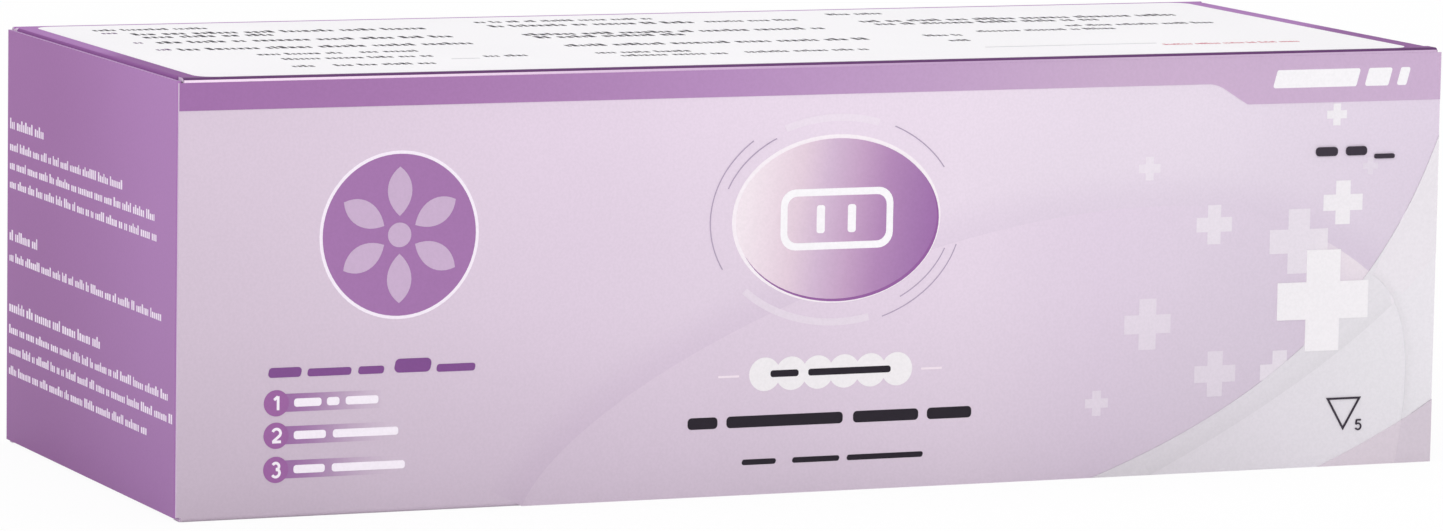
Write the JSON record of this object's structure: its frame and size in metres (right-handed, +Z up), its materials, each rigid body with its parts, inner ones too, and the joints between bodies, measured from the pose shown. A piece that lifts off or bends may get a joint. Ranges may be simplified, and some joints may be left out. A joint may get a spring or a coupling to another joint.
{
  "type": "folding test kit carton",
  "caption": "Closed tuck-end boxboard carton with hinged end flaps, holding foil test pouches on edge and a folded leaflet.",
  "frame": {"origin": "on the floor under the middle of the closed carton", "axes": "+X along the tube to the right-hand end, -Y out of the printed front panel, +Z up from the bottom panel"},
  "size_m": [0.17, 0.068, 0.0535],
  "materials": {
    "printed_board": "coated white boxboard, printed lilac, semi-gloss varnish",
    "foil": "aluminium foil laminate, satin silver",
    "paper": "thin uncoated leaflet paper"
  },
  "bodies": {
    "carton": {"carton_sleeve": "printed_board", "foil_pouch_1": "foil", "foil_pouch_2": "foil", "foil_pouch_3": "foil", "foil_pouch_4": "foil", "foil_pouch_5": "foil", "instruction_leaflet": "paper"},
    "left_flap": {"left_tuck_flap": "printed_board"},
    "right_flap": {"right_tuck_flap": "printed_board"}
  },
  "joints": [
    {"name": "left_flap_hinge", "type": "hinge", "parent": "carton", "child": "left_flap", "pos_m": [-0.08478, 0.03378, 0.02675], "axis": [0, 0, -1], "range_deg": [0, 180]},
    {"name": "right_flap_hinge", "type": "hinge", "parent": "carton", "child": "right_flap", "pos_m": [0.08478, 0.03378, 0.02675], "axis": [0, 0, 1], "range_deg": [0, 180]}
  ]
}
